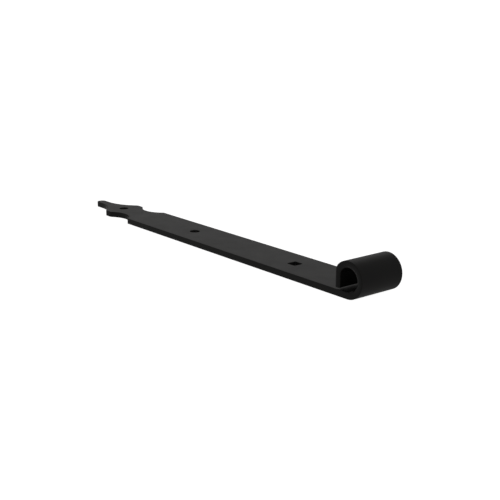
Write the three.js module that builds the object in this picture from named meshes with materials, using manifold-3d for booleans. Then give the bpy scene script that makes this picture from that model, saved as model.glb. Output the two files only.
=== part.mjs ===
// Strap hinge band for a gate or shutter. Units are millimetres, +Z is up.
//
// The object is one steel bar, punched and bent, in a black coating. The strap lies flat on the
// door leaf and is bolted through a square hole and screwed through two round ones. At one end it
// is cut to a spear with a rounded lobe behind it. At the other end it is rolled up and back over
// itself into an open eye, as wide as the bar, which drops over the pin of a gate hook.
//
// Frame: +X runs along the strap from the tip to the eye, +Y across it, and +Z out of the door
// leaf. The strap's back face is at Z = 0, and the origin is in the middle of the length and width.

import * as THREE from 'three';
import { mergeVertices } from 'three/addons/utils/BufferGeometryUtils.js';
import Module from 'manifold-3d';

// The bar
const OVERALL_LENGTH = 380;
const BAR_WIDTH = 40;
const BAR_THICKNESS = 5;

// The eye, seen from the side. The bar follows the outer circle from below, past its far side and
// over its top, then bends sharply into a straight leg that stops just above the strap.
const EYE_OUTER_RADIUS = 13.5;
const EYE_INNER_RADIUS = 8.5;
const LEG_REACH = 11.5; // from the eye's axis to the outside of the leg
const LEG_THICKNESS = 3.8;
const LEG_OUTER_BEND = 6;
const LEG_INNER_BEND = 2;
const SEAM_GAP = 1.1; // between the bar's end and the strap's front face

// The holes, each placed by its distance from the eye's axis
const BOLT_HOLE_DISTANCE = 75;
const BOLT_HOLE_WIDTH = 8.5;
const BOLT_HOLE_CORNER_RADIUS = 0.6;
const SCREW_HOLE_DISTANCES = [204, 320.5];
const SCREW_HOLE_DIAMETER = 8.5;

// The tip, from its point towards the eye: a narrow finger, a flare that curves out to a rounded
// lobe, a neck scooped in from both edges, and the shoulder where the full width starts.
const FINGER_HALF_WIDTH = 4.3;
const FINGER_LENGTH = 12.5;
const FLARE_RADIUS = 40;
const LOBE_HALF_WIDTH = 18;
const LOBE_CORNER_RADIUS = 4.5;
const NECK_HALF_WIDTH = 11.5;
const NECK_SCOOP_RADIUS = 22.5;
const SHOULDER_DISTANCE = 85; // from the point of the tip

// How finely arcs are drawn, and how far a cutting shape reaches past the metal that it cuts
const ARC_DIVISIONS = 10;
const CUT_MARGIN = 1;

const HALF_WIDTH = BAR_WIDTH / 2;
const TIP_X = -OVERALL_LENGTH / 2;
const EYE_END_X = OVERALL_LENGTH / 2;
const EYE_X = EYE_END_X - EYE_OUTER_RADIUS;
const OUTER_CENTRE_Z = EYE_OUTER_RADIUS;
const INNER_CENTRE_Z = BAR_THICKNESS + EYE_INNER_RADIUS;
const EYE_HEIGHT = 2 * EYE_OUTER_RADIUS;

const QUARTER_TURN = Math.PI / 2;

/** The other short side of a right-angled triangle. */
function otherSide(longSide, shortSide) {
  return Math.sqrt(longSide * longSide - shortSide * shortSide);
}

/** Half of the strap's outline, from the point of the tip to past the eye, on the +Y side. */
function halfOutline() {
  const flareX = TIP_X + FINGER_LENGTH;
  const flareY = FINGER_HALF_WIDTH + FLARE_RADIUS;
  const lobeY = LOBE_HALF_WIDTH - LOBE_CORNER_RADIUS;
  const neckY = NECK_HALF_WIDTH + NECK_SCOOP_RADIUS;
  const shoulderX = TIP_X + SHOULDER_DISTANCE;
  const neckX = shoulderX - otherSide(NECK_SCOOP_RADIUS, neckY - HALF_WIDTH);

  // The lobe's two corners touch the flare in front and the neck's scoop behind.
  const frontX = flareX + otherSide(FLARE_RADIUS + LOBE_CORNER_RADIUS, flareY - lobeY);
  const backX = neckX - otherSide(NECK_SCOOP_RADIUS + LOBE_CORNER_RADIUS, neckY - lobeY);
  const flareEnd = Math.atan2(lobeY - flareY, frontX - flareX);
  const scoopStart = Math.atan2(neckY - lobeY, neckX - backX);
  const scoopEnd = Math.atan2(HALF_WIDTH - neckY, shoulderX - neckX);

  const path = new THREE.Path();
  path.absarc(TIP_X + FINGER_HALF_WIDTH, 0, FINGER_HALF_WIDTH, Math.PI, QUARTER_TURN, true);
  path.absarc(flareX, flareY, FLARE_RADIUS, -QUARTER_TURN, flareEnd, false);
  path.absarc(frontX, lobeY, LOBE_CORNER_RADIUS, flareEnd + Math.PI, QUARTER_TURN, true);
  path.absarc(backX, lobeY, LOBE_CORNER_RADIUS, QUARTER_TURN, scoopStart, true);
  path.absarc(neckX, neckY, NECK_SCOOP_RADIUS, scoopStart - Math.PI, scoopEnd, false);
  path.lineTo(EYE_END_X + CUT_MARGIN, HALF_WIDTH);
  return path.getPoints(ARC_DIVISIONS);
}

/** A square hole with its corners rounded by the punch. */
function boltHole() {
  const x = EYE_X - BOLT_HOLE_DISTANCE;
  const inset = BOLT_HOLE_WIDTH / 2 - BOLT_HOLE_CORNER_RADIUS;
  const hole = new THREE.Path();
  for (let corner = 0; corner < 4; corner++) {
    const start = corner * QUARTER_TURN;
    const middle = start + QUARTER_TURN / 2;
    const centreX = x + inset * Math.sign(Math.cos(middle));
    const centreY = inset * Math.sign(Math.sin(middle));
    hole.absarc(centreX, centreY, BOLT_HOLE_CORNER_RADIUS, start, start + QUARTER_TURN, false);
  }
  hole.closePath();
  return hole;
}

/** A round hole for a screw or a bolt. */
function screwHole(distance) {
  const hole = new THREE.Path();
  hole.absarc(EYE_X - distance, 0, SCREW_HOLE_DIAMETER / 2, 0, 2 * Math.PI, false);
  return hole;
}

/** The strap seen from the front: its outline, with the holes that are punched through it. */
function planShape() {
  const upper = halfOutline();
  const lower = upper.slice(1).reverse().map((point) => new THREE.Vector2(point.x, -point.y));
  const shape = new THREE.Shape([...upper, ...lower]);
  shape.holes.push(boltHole(), ...SCREW_HOLE_DISTANCES.map(screwHole));
  return shape;
}

/** Centre of a bend that touches the eye's circle from inside and the leg's upright face. */
function legBendCentre(circleRadius, circleZ, faceReach, bendRadius) {
  const across = faceReach - bendRadius;
  return { across, z: circleZ + otherSide(circleRadius - bendRadius, across) };
}

/** The bar seen from the side, in X and Z: the flat strap and the eye rolled on top of it. */
function sideShape() {
  const innerReach = LEG_REACH - LEG_THICKNESS;
  const outer = legBendCentre(EYE_OUTER_RADIUS, OUTER_CENTRE_Z, LEG_REACH, LEG_OUTER_BEND);
  const inner = legBendCentre(EYE_INNER_RADIUS, INNER_CENTRE_Z, innerReach, LEG_INNER_BEND);
  const outerEnd = Math.atan2(outer.z - OUTER_CENTRE_Z, -outer.across);
  const innerEnd = Math.atan2(inner.z - INNER_CENTRE_Z, -inner.across);
  const legEndZ = BAR_THICKNESS + SEAM_GAP;

  const shape = new THREE.Shape();
  shape.moveTo(TIP_X - CUT_MARGIN, 0);
  shape.lineTo(EYE_X, 0);
  shape.absarc(EYE_X, OUTER_CENTRE_Z, EYE_OUTER_RADIUS, -QUARTER_TURN, outerEnd, false);
  shape.absarc(EYE_X - outer.across, outer.z, LEG_OUTER_BEND, outerEnd, Math.PI, false);
  shape.lineTo(EYE_X - LEG_REACH, legEndZ);
  shape.lineTo(EYE_X - innerReach, legEndZ);
  shape.absarc(EYE_X - inner.across, inner.z, LEG_INNER_BEND, Math.PI, innerEnd, true);
  shape.absarc(EYE_X, INNER_CENTRE_Z, EYE_INNER_RADIUS, innerEnd, -QUARTER_TURN, true);
  shape.lineTo(TIP_X - CUT_MARGIN, BAR_THICKNESS);
  shape.closePath();
  return shape;
}

/** The strap's outline and holes, taken straight through the whole height of the part. */
function planPrism() {
  const geometry = new THREE.ExtrudeGeometry(planShape(), {
    depth: EYE_HEIGHT + 2 * CUT_MARGIN,
    curveSegments: ARC_DIVISIONS,
    bevelEnabled: false,
  });
  return geometry.translate(0, 0, -CUT_MARGIN);
}

/** The side view taken straight across the part, a little wider than the bar. */
function sidePrism() {
  const geometry = new THREE.ExtrudeGeometry(sideShape(), {
    depth: BAR_WIDTH + 2 * CUT_MARGIN,
    curveSegments: ARC_DIVISIONS,
    bevelEnabled: false,
  });
  return geometry.rotateX(QUARTER_TURN).translate(0, HALF_WIDTH + CUT_MARGIN, 0);
}

const wasm = await Module();
wasm.setup();

/** A three.js geometry as a manifold-3d solid. */
function toSolid(geometry) {
  const bare = geometry.clone();
  bare.deleteAttribute('normal');
  bare.deleteAttribute('uv');
  const merged = mergeVertices(bare);
  const vertProperties = new Float32Array(merged.attributes.position.array);
  const triVerts = new Uint32Array(merged.index.array);
  return new wasm.Manifold(new wasm.Mesh({ numProp: 3, vertProperties, triVerts }));
}

/** A manifold-3d solid as a three.js geometry. */
function toGeometry(solid) {
  const mesh = solid.getMesh();
  const geometry = new THREE.BufferGeometry();
  geometry.setAttribute('position', new THREE.BufferAttribute(mesh.vertProperties, 3));
  geometry.setIndex(new THREE.BufferAttribute(mesh.triVerts, 1));
  geometry.computeVertexNormals();
  return geometry;
}

/** The whole band: the bent bar's side view, cut to the punched outline. */
function hingeStrap() {
  const geometry = toGeometry(toSolid(sidePrism()).intersect(toSolid(planPrism())));
  const blackCoating = new THREE.MeshStandardMaterial({
    name: 'black_coating',
    color: 0x1b1b1c,
    roughness: 0.45,
    metalness: 0,
    flatShading: true,
  });
  const mesh = new THREE.Mesh(geometry, blackCoating);
  mesh.name = 'hinge_strap';
  return mesh;
}

const part = new THREE.Group();
part.add(hingeStrap());

export default part;
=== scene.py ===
"""Looks of a black strap hinge band, lying on a white studio sweep. Units are metres.

The band is one flat bar. Its mesh is made the way the bar is made: a long grid of cross sections
follows the punched outline from the tip to the shoulder, runs on along the flat strap, and then
bends with the bar round the eye to its free end. Every edge is rounded, and the holes are patches
in the grid with rounded rims.
"""

import math

import bmesh
import bpy
from mathutils import Matrix, Vector


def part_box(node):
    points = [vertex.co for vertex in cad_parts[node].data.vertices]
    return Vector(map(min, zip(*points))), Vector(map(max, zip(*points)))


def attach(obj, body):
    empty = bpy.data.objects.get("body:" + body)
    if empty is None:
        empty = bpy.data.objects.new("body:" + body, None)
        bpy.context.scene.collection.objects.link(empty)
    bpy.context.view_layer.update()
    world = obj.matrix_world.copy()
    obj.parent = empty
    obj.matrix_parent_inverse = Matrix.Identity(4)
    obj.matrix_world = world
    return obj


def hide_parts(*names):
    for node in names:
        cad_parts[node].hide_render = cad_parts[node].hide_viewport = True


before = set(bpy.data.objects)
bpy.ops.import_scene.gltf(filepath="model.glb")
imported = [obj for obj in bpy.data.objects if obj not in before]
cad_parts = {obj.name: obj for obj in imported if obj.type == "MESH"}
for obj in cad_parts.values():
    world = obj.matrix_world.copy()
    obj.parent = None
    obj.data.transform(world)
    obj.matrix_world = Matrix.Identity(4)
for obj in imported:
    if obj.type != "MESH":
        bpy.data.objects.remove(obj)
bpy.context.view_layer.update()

MM = 0.001
QUARTER_TURN = math.pi / 2

# The band's sizes. The outer ones come from the CAD model's box.
CAD_LOW, CAD_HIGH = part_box("hinge_strap")
TIP_X = CAD_LOW.x
HALF_WIDTH = CAD_HIGH.y
EYE_OUTER_RADIUS = CAD_HIGH.z / 2
EYE_X = CAD_HIGH.x - EYE_OUTER_RADIUS
THICKNESS = 5 * MM

EYE_INNER_RADIUS = 8.5 * MM
LEG_REACH = 11.5 * MM
LEG_THICKNESS = 3.8 * MM
LEG_OUTER_BEND = 6 * MM
LEG_INNER_BEND = 2 * MM
SEAM_GAP = 1.1 * MM

BOLT_HOLE_X = EYE_X - 75 * MM
BOLT_HOLE_WIDTH = 8.5 * MM
BOLT_HOLE_CORNER = 0.6 * MM
MIDDLE_HOLE_X = EYE_X - 204 * MM
TIP_HOLE_X = EYE_X - 320.5 * MM
SCREW_HOLE_RADIUS = 4.25 * MM

FINGER_HALF_WIDTH = 4.3 * MM
FINGER_LENGTH = 12.5 * MM
FLARE_RADIUS = 40 * MM
LOBE_HALF_WIDTH = 18 * MM
LOBE_CORNER_RADIUS = 4.5 * MM
NECK_HALF_WIDTH = 11.5 * MM
NECK_SCOOP_RADIUS = 22.5 * MM
SHOULDER_X = TIP_X + 85 * MM
SHOULDER_CORNER_RADIUS = 1.2 * MM

# Rounded edges of the punched outline, of the rolled bar and of the bent eye. Each is given as how
# far it reaches in across the face and how far down the thickness.
PUNCHED_FRONT_EDGE = (0.4 * MM, 0.4 * MM)
PUNCHED_BACK_EDGE = (0.3 * MM, 0.3 * MM)
ROLLED_FRONT_EDGE = (0.4 * MM, 0.4 * MM)
ROLLED_BACK_EDGE = (0.5 * MM, 0.5 * MM)
EYE_INSIDE_EDGE = (1.0 * MM, 3.4 * MM)
EYE_OUTSIDE_EDGE = (0.5 * MM, 0.8 * MM)
BAR_END_EDGE = 0.4 * MM
HOLE_EDGE = 0.35 * MM
SMALLEST_EDGE = 0.05 * MM

# How far beyond a rounding the next row of the grid lies, so that smoothing leaves the face flat
SUPPORT = 0.35 * MM

# How fine the grid is
COLUMNS = 16
HOLE_COLUMNS = 3
EDGE_STEPS = 4
FINGER_STEPS = 14
FLARE_STEPS = 22
LOBE_STEPS = 5
SCOOP_STEPS = 24
SHOULDER_STEPS = 4
STRAP_STEP = 2.4 * MM
BEND_STEP = math.radians(5)
LEG_STEPS = 5
TIP_PATCH_REACH = 6.5 * MM

# The turn of the bend over which the rolled bar's edges change into the eye's
EDGE_BLEND = math.radians(45)


# ---------------------------------------------------------------- the bar's outline

def other_side(long_side, short_side):
    """The other short side of a right-angled triangle."""
    return math.sqrt(long_side * long_side - short_side * short_side)


class Rung:
    """One cross section of the bar: the (x, z) places of its back and front faces, half its width,
    the (x, y) direction from its edge into the metal, and how its edges are rounded. end_inset
    shrinks the section, for the rounded end of the bar."""

    def __init__(self, back, front, half_width, inward, front_edge, back_edge, end_inset=0.0):
        self.back = back
        self.front = front
        self.half_width = half_width
        self.inward = inward
        self.front_edge = front_edge
        self.back_edge = back_edge
        self.end_inset = end_inset

    def point(self, side, inset, height):
        """A point of the section. height is 0 on the back face and THICKNESS on the front."""
        share = height / THICKNESS
        x = self.back[0] + (self.front[0] - self.back[0]) * share + self.inward[0] * inset
        z = self.back[1] + (self.front[1] - self.back[1]) * share
        half = self.half_width + self.inward[1] * inset
        return Vector((x, side * half, z))

    def edge(self):
        """The half section from the front face round to the back face, as (inset, height)."""
        start = self.end_inset
        front_across, front_down = [max(reach - start, SMALLEST_EDGE) for reach in self.front_edge]
        back_across, back_up = [max(reach - start, SMALLEST_EDGE) for reach in self.back_edge]
        top = THICKNESS - start
        points = [(start + front_across + SUPPORT, top)]
        for step in range(EDGE_STEPS + 1):
            turn = QUARTER_TURN * step / EDGE_STEPS
            points.append((start + front_across * (1 - math.sin(turn)),
                           top - front_down * (1 - math.cos(turn))))
        points.append((start, (top - front_down + start + back_up) / 2))
        for step in range(EDGE_STEPS + 1):
            turn = QUARTER_TURN * step / EDGE_STEPS
            points.append((start + back_across * (1 - math.cos(turn)),
                           start + back_up * (1 - math.sin(turn))))
        points.append((start + back_across + SUPPORT, start))
        return points

    def loop(self):
        """The closed section: front face, far edge, back face, near edge."""
        edge = self.edge()
        first_inset, top = edge[0]
        last_inset, bottom = edge[-1]
        shares = [2 * column / COLUMNS - 1 for column in range(1, COLUMNS)]
        far = [self.point(1, inset, height) for inset, height in edge]
        near = [self.point(-1, inset, height) for inset, height in edge]
        centre_front = (far[0] + near[0]) / 2
        centre_back = (far[-1] + near[-1]) / 2
        front = [centre_front + (far[0] - centre_front) * share for share in shares]
        back = [centre_back + (far[-1] - centre_back) * share for share in reversed(shares)]
        return front + far + back + near[::-1]


def flat_rung(x, half_width, inward=(0.0, -1.0), punched=False):
    """A section of the flat strap."""
    front_edge = PUNCHED_FRONT_EDGE if punched else ROLLED_FRONT_EDGE
    back_edge = PUNCHED_BACK_EDGE if punched else ROLLED_BACK_EDGE
    return Rung((x, 0.0), (x, THICKNESS), half_width, inward, front_edge, back_edge)


def arc_rungs(centre, radius, start, end, steps, hollow=False):
    """Sections along a round stretch of the punched outline. The metal lies inside the circle,
    or outside it where the stretch is hollow."""
    facing = 1.0 if hollow else -1.0
    rungs = []
    for step in range(steps + 1):
        angle = start + (end - start) * step / steps
        x = centre[0] + radius * math.cos(angle)
        y = centre[1] + radius * math.sin(angle)
        inward = (facing * math.cos(angle), facing * math.sin(angle))
        rungs.append(flat_rung(x, y, inward, punched=True))
    return rungs


def tip_rungs():
    """The spear: finger, flare, lobe and neck, up to the shoulder."""
    flare = (TIP_X + FINGER_LENGTH, FINGER_HALF_WIDTH + FLARE_RADIUS)
    lobe_y = LOBE_HALF_WIDTH - LOBE_CORNER_RADIUS
    neck_y = NECK_HALF_WIDTH + NECK_SCOOP_RADIUS
    neck_x = SHOULDER_X - other_side(NECK_SCOOP_RADIUS, neck_y - HALF_WIDTH)
    front_x = flare[0] + other_side(FLARE_RADIUS + LOBE_CORNER_RADIUS, flare[1] - lobe_y)
    back_x = neck_x - other_side(NECK_SCOOP_RADIUS + LOBE_CORNER_RADIUS, neck_y - lobe_y)
    shoulder_y = HALF_WIDTH - SHOULDER_CORNER_RADIUS
    shoulder_x = neck_x + other_side(NECK_SCOOP_RADIUS + SHOULDER_CORNER_RADIUS, neck_y - shoulder_y)

    flare_end = math.atan2(lobe_y - flare[1], front_x - flare[0])
    scoop_start = math.atan2(neck_y - lobe_y, neck_x - back_x)
    scoop_end = math.atan2(shoulder_y - neck_y, shoulder_x - neck_x)

    finger = (TIP_X + FINGER_HALF_WIDTH, 0.0)
    rungs = arc_rungs(finger, FINGER_HALF_WIDTH, math.pi, QUARTER_TURN, FINGER_STEPS)
    rungs += arc_rungs(flare, FLARE_RADIUS, -QUARTER_TURN, flare_end, FLARE_STEPS, hollow=True)
    rungs += arc_rungs((front_x, lobe_y), LOBE_CORNER_RADIUS, flare_end + math.pi, QUARTER_TURN,
                       LOBE_STEPS)
    rungs += arc_rungs((back_x, lobe_y), LOBE_CORNER_RADIUS, QUARTER_TURN, scoop_start, LOBE_STEPS)
    rungs += arc_rungs((neck_x, neck_y), NECK_SCOOP_RADIUS, scoop_start - math.pi, scoop_end,
                       SCOOP_STEPS, hollow=True)
    rungs += arc_rungs((shoulder_x, shoulder_y), SHOULDER_CORNER_RADIUS, scoop_end + math.pi,
                       QUARTER_TURN, SHOULDER_STEPS)
    return rungs


def strap_rungs(start_x):
    """The straight strap, with evenly spaced sections between the edges of its hole patches."""
    patch = HOLE_COLUMNS * 2 * HALF_WIDTH / COLUMNS
    stations = [start_x, MIDDLE_HOLE_X - patch, MIDDLE_HOLE_X + patch,
                BOLT_HOLE_X - patch, BOLT_HOLE_X + patch, EYE_X]
    rungs = []
    for low, high in zip(stations, stations[1:]):
        steps = max(round((high - low) / STRAP_STEP), 1)
        for step in range(1, steps + 1):
            x = low + (high - low) * step / steps
            rungs.append(flat_rung(x, HALF_WIDTH))
    return rungs


def bend_point(angle, radius, centre_z, reach, bend):
    """A point of the eye's outer or inner curve, by the direction in which it faces: a circle
    round the eye's axis, then the smaller bend into the leg."""
    across = reach - bend
    bend_z = centre_z + other_side(radius - bend, across)
    bend_start = math.atan2(bend_z - centre_z, -across)
    if angle < bend_start:
        return (EYE_X + radius * math.cos(angle), centre_z + radius * math.sin(angle))
    return (EYE_X - across + bend * math.cos(angle), bend_z + bend * math.sin(angle))


def blend(first, second, share):
    """A rounded edge between two others."""
    return [start + (end - start) * share for start, end in zip(first, second)]


def eye_section(back, front, angle, inset=0.0):
    """A section of the eye. Its inner edges are rounded further where the bar is bent."""
    share = min((angle + QUARTER_TURN) / EDGE_BLEND, 1.0)
    inside_edge = blend(ROLLED_FRONT_EDGE, EYE_INSIDE_EDGE, share)
    outside_edge = blend(ROLLED_BACK_EDGE, EYE_OUTSIDE_EDGE, share)
    return Rung(back, front, HALF_WIDTH, (0.0, -1.0), inside_edge, outside_edge, inset)


def eye_rungs():
    """The eye: round its circle, down the straight leg and round the edges of the bar's end."""
    inner_reach = LEG_REACH - LEG_THICKNESS

    def outside(angle):
        return bend_point(angle, EYE_OUTER_RADIUS, EYE_OUTER_RADIUS, LEG_REACH, LEG_OUTER_BEND)

    def inside(angle):
        return bend_point(angle, EYE_INNER_RADIUS, THICKNESS + EYE_INNER_RADIUS, inner_reach,
                          LEG_INNER_BEND)

    rungs = []
    turn = math.pi + QUARTER_TURN
    steps = round(turn / BEND_STEP)
    for step in range(1, steps + 1):
        angle = -QUARTER_TURN + turn * step / steps
        rungs.append(eye_section(outside(angle), inside(angle), angle))

    top_out = outside(math.pi)
    top_in = inside(math.pi)
    rounded_z = THICKNESS + SEAM_GAP + BAR_END_EDGE
    for step in range(1, LEG_STEPS + 1):
        share = step / LEG_STEPS
        out_z = top_out[1] + (rounded_z - top_out[1]) * share
        in_z = top_in[1] + (rounded_z - top_in[1]) * share
        rungs.append(eye_section((top_out[0], out_z), (top_in[0], in_z), math.pi))
    for step in range(1, EDGE_STEPS + 1):
        angle = QUARTER_TURN * step / EDGE_STEPS
        z = rounded_z - BAR_END_EDGE * math.sin(angle)
        inset = BAR_END_EDGE * (1 - math.cos(angle))
        rungs.append(eye_section((top_out[0], z), (top_in[0], z), math.pi, inset))
    return rungs


# ---------------------------------------------------------------- the holes

def round_hole(radius):
    """A round hole's outline. turn runs from 0 to 4, one for each quarter from a corner of its
    patch, and grow widens the outline."""
    def outline(turn, grow):
        angle = math.radians(-135 + 90 * turn)
        return Vector(((radius + grow) * math.cos(angle), (radius + grow) * math.sin(angle)))
    return outline


def square_hole(width, corner):
    """A square hole's outline, with a third of its points on its rounded corners."""
    inset = width / 2 - corner
    corner_share = 1 / 6

    def outline(turn, grow):
        nearest = math.floor(turn + 0.5)
        past = turn - nearest
        middle = math.radians(-135 + 90 * nearest)
        centre = Vector((math.copysign(inset, math.cos(middle)),
                         math.copysign(inset, math.sin(middle))))
        swing = max(-1.0, min(1.0, past / corner_share)) * math.radians(45)
        facing = Vector((math.cos(middle + swing), math.sin(middle + swing)))
        point = centre + facing * (corner + grow)
        beyond = abs(past) - corner_share
        if beyond > 0:
            along = Vector((-facing.y, facing.x)) * math.copysign(1.0, past)
            point += along * inset * beyond / (0.5 - corner_share)
        return point
    return outline


def patch_border(grid, rows, columns):
    """The grid's vertices round a patch, from its near tip-side corner, each with its place from
    0 to 4 round the patch. On the back face the columns run from high to low."""
    first, last = rows
    low, high = columns
    length = last - first
    width = abs(high - low)
    across = 1 if high > low else -1
    border = []
    for row in range(first, last):
        border.append((grid[row][low], (row - first) / length))
    for column in range(low, high, across):
        border.append((grid[last][column], 1 + abs(column - low) / width))
    for row in range(last, first, -1):
        border.append((grid[row][high], 2 + (last - row) / length))
    for column in range(high, low, -across):
        border.append((grid[first][column], 3 + abs(high - column) / width))
    return border


def ring_faces(mesh, outer, inner):
    """Quads between two closed rings of vertices."""
    count = len(outer)
    for index in range(count):
        after = (index + 1) % count
        mesh.faces.new((outer[index], outer[after], inner[after], inner[index]))


def cut_hole(mesh, front_border, back_border, centre_x, outline):
    """Fills a patch with a hole: flat rings on both faces, rounded rims and the wall."""
    turns = [turn for _, turn in front_border]

    def hole_ring(grow, z):
        ring = []
        for turn in turns:
            flat = outline(turn, grow)
            ring.append(mesh.verts.new((centre_x + flat.x, flat.y, z)))
        return ring

    def between(border, ring, share):
        vertices = []
        for (outer, _), inner in zip(border, ring):
            vertices.append(mesh.verts.new(outer.co.lerp(inner.co, share)))
        return vertices

    rim = HOLE_EDGE + SUPPORT
    front_rim = hole_ring(rim, THICKNESS)
    back_rim = hole_ring(rim, 0.0)
    rings = [[vertex for vertex, _ in front_border], between(front_border, front_rim, 0.5), front_rim]
    for step in range(EDGE_STEPS + 1):
        angle = QUARTER_TURN * step / EDGE_STEPS
        rings.append(hole_ring(HOLE_EDGE * (1 - math.sin(angle)),
                               THICKNESS - HOLE_EDGE * (1 - math.cos(angle))))
    rings.append(hole_ring(0.0, THICKNESS / 2))
    for step in range(EDGE_STEPS + 1):
        angle = QUARTER_TURN * step / EDGE_STEPS
        rings.append(hole_ring(HOLE_EDGE * (1 - math.cos(angle)), HOLE_EDGE * (1 - math.sin(angle))))
    rings += [back_rim, between(back_border, back_rim, 0.5), [vertex for vertex, _ in back_border]]
    for outer, inner in zip(rings, rings[1:]):
        ring_faces(mesh, outer, inner)


# ---------------------------------------------------------------- the bar as one mesh

def nearest_rung(rungs, x):
    """The number of the flat section nearest to x."""
    flat = [index for index, rung in enumerate(rungs) if rung.back[0] == rung.front[0]]
    return min(flat, key=lambda index: abs(rungs[index].back[0] - x) + abs(rungs[index].back[1]))


def hinge_strap():
    """The whole band as one closed mesh."""
    rungs = tip_rungs()
    rungs += strap_rungs(rungs[-1].back[0])
    rungs += eye_rungs()
    mesh = bmesh.new()
    grid = [[mesh.verts.new(point) for point in rung.loop()] for rung in rungs]

    # Each loop starts with the front face's inner columns, near to far. The back face's inner
    # columns follow the far edge, far to near.
    inner_columns = COLUMNS - 1
    edge_points = len(rungs[0].edge())
    back_start = inner_columns + edge_points
    middle = inner_columns // 2
    front_columns = (middle - HOLE_COLUMNS, middle + HOLE_COLUMNS)
    back_middle = back_start + middle
    back_columns = (back_middle + HOLE_COLUMNS, back_middle - HOLE_COLUMNS)

    patch = HOLE_COLUMNS * 2 * HALF_WIDTH / COLUMNS
    holes = [
        (TIP_HOLE_X, TIP_PATCH_REACH, round_hole(SCREW_HOLE_RADIUS)),
        (MIDDLE_HOLE_X, patch, round_hole(SCREW_HOLE_RADIUS)),
        (BOLT_HOLE_X, patch, square_hole(BOLT_HOLE_WIDTH, BOLT_HOLE_CORNER)),
    ]
    open_cells = set()
    for centre_x, reach, outline in holes:
        first = nearest_rung(rungs, centre_x - reach)
        last = nearest_rung(rungs, centre_x + reach)
        front_border = patch_border(grid, (first, last), front_columns)
        back_border = patch_border(grid, (first, last), back_columns)
        cut_hole(mesh, front_border, back_border, centre_x, outline)
        for row in range(first, last):
            for column in range(2 * HOLE_COLUMNS):
                open_cells.add((row, front_columns[0] + column))
                open_cells.add((row, back_columns[1] + column))

    for row, (lower, upper) in enumerate(zip(grid, grid[1:])):
        for column in range(len(lower)):
            if (row, column) in open_cells:
                continue
            after = (column + 1) % len(lower)
            mesh.faces.new((lower[column], upper[column], upper[after], lower[after]))
    close_bar_end(mesh, grid[-1], inner_columns, edge_points)

    bmesh.ops.remove_doubles(mesh, verts=mesh.verts, dist=0.001 * MM)
    bmesh.ops.recalc_face_normals(mesh, faces=mesh.faces)
    data = bpy.data.meshes.new("hinge_strap_bar")
    mesh.to_mesh(data)
    mesh.free()
    return data


def close_bar_end(mesh, loop, inner_columns, edge_points):
    """The flat face at the bar's free end."""
    front = loop[:inner_columns]
    far = loop[inner_columns:inner_columns + edge_points]
    back = loop[inner_columns + edge_points:2 * inner_columns + edge_points][::-1]
    near = loop[2 * inner_columns + edge_points:]
    for column in range(inner_columns - 1):
        mesh.faces.new((front[column], front[column + 1], back[column + 1], back[column]))
    mesh.faces.new([front[-1], *far, back[-1]])
    mesh.faces.new([back[0], *near, front[0]])


# ---------------------------------------------------------------- material

def new_material(name):
    """A new node material, with its nodes, its links and its shader."""
    material = bpy.data.materials.new(name)
    material.use_nodes = True
    nodes = material.node_tree.nodes
    links = material.node_tree.links
    shader = nodes["Principled BSDF"]
    return material, nodes, links, shader


def noise(nodes, links, size, detail, roughness=0.5):
    """Noise whose lumps are about as large as size, in the object's own coordinates."""
    place = nodes.new("ShaderNodeTexCoord")
    texture = nodes.new("ShaderNodeTexNoise")
    texture.inputs["Scale"].default_value = 1 / size
    texture.inputs["Detail"].default_value = detail
    texture.inputs["Roughness"].default_value = roughness
    links.new(place.outputs["Object"], texture.inputs["Vector"])
    return texture.outputs["Fac"]


def spread(nodes, links, value, low, high):
    """Noise runs mostly from 0.3 to 0.7: this maps that to low and high."""
    node = nodes.new("ShaderNodeMapRange")
    node.inputs["From Min"].default_value = 0.3
    node.inputs["From Max"].default_value = 0.7
    node.inputs["To Min"].default_value = low
    node.inputs["To Max"].default_value = high
    links.new(value, node.inputs["Value"])
    return node.outputs["Result"]


def black_coating():
    """Satin black powder coat: faint clouds of tone and gloss over a fine orange peel."""
    material, nodes, links, shader = new_material("black_coating")
    clouds = noise(nodes, links, 22 * MM, 3)
    ramp = nodes.new("ShaderNodeValToRGB")
    ramp.color_ramp.elements[0].position = 0.35
    ramp.color_ramp.elements[0].color = (0.0175, 0.0175, 0.018, 1)
    ramp.color_ramp.elements[1].position = 0.65
    ramp.color_ramp.elements[1].color = (0.0225, 0.022, 0.0212, 1)
    links.new(clouds, ramp.inputs["Fac"])
    links.new(ramp.outputs["Color"], shader.inputs["Base Color"])

    gloss = spread(nodes, links, noise(nodes, links, 13 * MM, 3), 0.33, 0.38)
    links.new(gloss, shader.inputs["Roughness"])

    peel = nodes.new("ShaderNodeBump")
    peel.inputs["Strength"].default_value = 0.2
    peel.inputs["Distance"].default_value = 0.03 * MM
    links.new(noise(nodes, links, 1.1 * MM, 2), peel.inputs["Height"])
    grain = nodes.new("ShaderNodeBump")
    grain.inputs["Strength"].default_value = 0.15
    grain.inputs["Distance"].default_value = 0.01 * MM
    links.new(noise(nodes, links, 0.35 * MM, 2), grain.inputs["Height"])
    links.new(peel.outputs["Normal"], grain.inputs["Normal"])
    links.new(grain.outputs["Normal"], shader.inputs["Normal"])
    shader.inputs["Metallic"].default_value = 0.0
    shader.inputs["Specular IOR Level"].default_value = 0.48
    return material


def sweep_white():
    """The studio sweep: white paper that is lit from behind, so that it stays plain."""
    material, _, _, shader = new_material("sweep_white")
    shader.inputs["Base Color"].default_value = (0.9, 0.9, 0.9, 1)
    shader.inputs["Roughness"].default_value = 1.0
    shader.inputs["Specular IOR Level"].default_value = 0.0
    shader.inputs["Emission Color"].default_value = (1, 1, 1, 1)
    shader.inputs["Emission Strength"].default_value = 0.97
    return material


# ---------------------------------------------------------------- stage, light and camera

SWEEP_FLOOR_RADIUS = 2.5
SWEEP_COVE_RADIUS = 1.0
SWEEP_WALL_TOP = 4.0
SWEEP_COVE_STEPS = 12
SWEEP_ROUND_STEPS = 64


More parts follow.
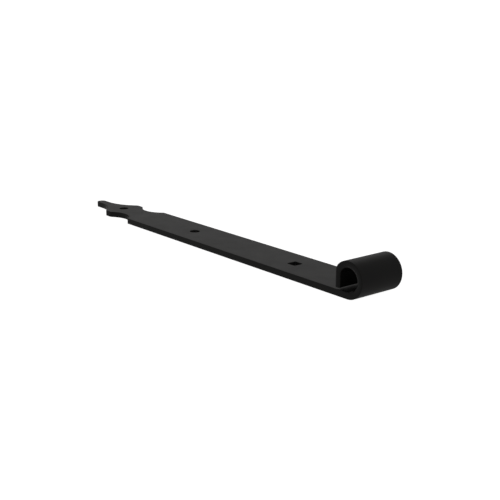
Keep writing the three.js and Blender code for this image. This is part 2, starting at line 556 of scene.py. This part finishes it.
def studio_sweep():
    """A round white floor that curves up into a wall all round and closes overhead. Only the camera
    sees it: it throws no light or shadow on the band and isn't mirrored in it, because the soft
    light comes from the world alone."""
    profile = [(0.0, 0.0), (SWEEP_FLOOR_RADIUS, 0.0)]
    for step in range(1, SWEEP_COVE_STEPS + 1):
        angle = QUARTER_TURN * step / SWEEP_COVE_STEPS
        profile.append((SWEEP_FLOOR_RADIUS + SWEEP_COVE_RADIUS * math.sin(angle),
                        SWEEP_COVE_RADIUS * (1 - math.cos(angle))))
    profile.append((SWEEP_FLOOR_RADIUS + SWEEP_COVE_RADIUS, SWEEP_WALL_TOP))
    profile.append((0.0, SWEEP_WALL_TOP + SWEEP_COVE_RADIUS))

    mesh = bmesh.new()
    edges = []
    vertices = [mesh.verts.new((radius, 0, z)) for radius, z in profile]
    for low, high in zip(vertices, vertices[1:]):
        edges.append(mesh.edges.new((low, high)))
    bmesh.ops.spin(mesh, geom=vertices + edges, cent=(0, 0, 0), axis=(0, 0, 1),
                   angle=2 * math.pi, steps=SWEEP_ROUND_STEPS)
    bmesh.ops.remove_doubles(mesh, verts=mesh.verts, dist=MM)
    data = bpy.data.meshes.new("studio_sweep")
    mesh.to_mesh(data)
    mesh.free()
    sweep = bpy.data.objects.new("studio_sweep", data)
    bpy.context.scene.collection.objects.link(sweep)
    data.materials.append(sweep_white())
    sweep.visible_diffuse = False
    sweep.visible_glossy = False
    sweep.visible_transmission = False
    sweep.visible_shadow = False


ROOM_LIGHT = 0.145

# Each soft light: its direction, how much brighter than the room it is, and the cosines of the
# angles from that direction at which it has ended and at which it is full
SOFT_LIGHTS = [
    ((-0.74, 0.60, 0.30), 0.12, (0.72, 0.97)),
    ((-0.84, 0.15, -0.52), 0.32, (0.86, 0.99)),
]


def soft_light():
    """Even light from all round, with two soft lights in it, both beyond the tip: a backdrop on the
    far side, which shines along the strap's top, and a reflector from below for the eye's rim."""
    world = bpy.data.worlds.new("soft_light")
    world.use_nodes = True
    nodes = world.node_tree.nodes
    links = world.node_tree.links
    facing = nodes.new("ShaderNodeTexCoord").outputs["Generated"]
    background = nodes["Background"]
    background.inputs["Color"].default_value = (1.0, 0.99, 0.98, 1)
    total = None
    for direction, extra, (ended, full) in SOFT_LIGHTS:
        towards = nodes.new("ShaderNodeVectorMath")
        towards.operation = "DOT_PRODUCT"
        towards.inputs[1].default_value = Vector(direction).normalized()
        links.new(facing, towards.inputs[0])
        glow = nodes.new("ShaderNodeMapRange")
        glow.interpolation_type = "SMOOTHSTEP"
        glow.inputs["From Min"].default_value = ended
        glow.inputs["From Max"].default_value = full
        glow.inputs["To Max"].default_value = extra
        links.new(towards.outputs["Value"], glow.inputs["Value"])
        add = nodes.new("ShaderNodeMath")
        add.operation = "ADD"
        add.inputs[0].default_value = ROOM_LIGHT
        if total is not None:
            links.new(total, add.inputs[0])
        links.new(glow.outputs["Result"], add.inputs[1])
        total = add.outputs["Value"]
    links.new(total, background.inputs["Strength"])
    bpy.context.scene.world = world


CAMERA_AZIMUTH = math.radians(50.95)
CAMERA_ELEVATION = math.radians(15.01)
CAMERA_ROLL = math.radians(0.26)
CAMERA_DISTANCE = 0.7242
CAMERA_AIM = Vector((35.7 * MM, 9.9 * MM, 0.0))
CAMERA_LENS = 64.07


def camera():
    """Looks along the band from the eye's end, a little above it."""
    forward = Vector((-math.sin(CAMERA_AZIMUTH) * math.cos(CAMERA_ELEVATION),
                      math.cos(CAMERA_AZIMUTH) * math.cos(CAMERA_ELEVATION),
                      -math.sin(CAMERA_ELEVATION)))
    data = bpy.data.cameras.new("camera")
    data.lens = CAMERA_LENS
    data.clip_start = 0.01
    eye = bpy.data.objects.new("camera", data)
    bpy.context.scene.collection.objects.link(eye)
    turn = forward.to_track_quat("-Z", "Y").to_matrix().to_4x4()
    roll = Matrix.Rotation(CAMERA_ROLL, 4, "Z")
    eye.matrix_world = Matrix.Translation(CAMERA_AIM - forward * CAMERA_DISTANCE) @ turn @ roll
    bpy.context.scene.camera = eye


# ---------------------------------------------------------------- the scene

def place_band():
    """The band, its coating, and what it stands for in the CAD model."""
    band = bpy.data.objects.new("coated_strap", hinge_strap())
    bpy.context.scene.collection.objects.link(band)
    band.data.materials.append(black_coating())
    band.data.shade_smooth()
    smooth = band.modifiers.new("smooth", "SUBSURF")
    smooth.levels = 1
    smooth.render_levels = 1
    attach(band, "root")
    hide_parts("hinge_strap")


camera()
soft_light()
studio_sweep()
place_band()
bpy.context.scene.view_settings.view_transform = "Standard"
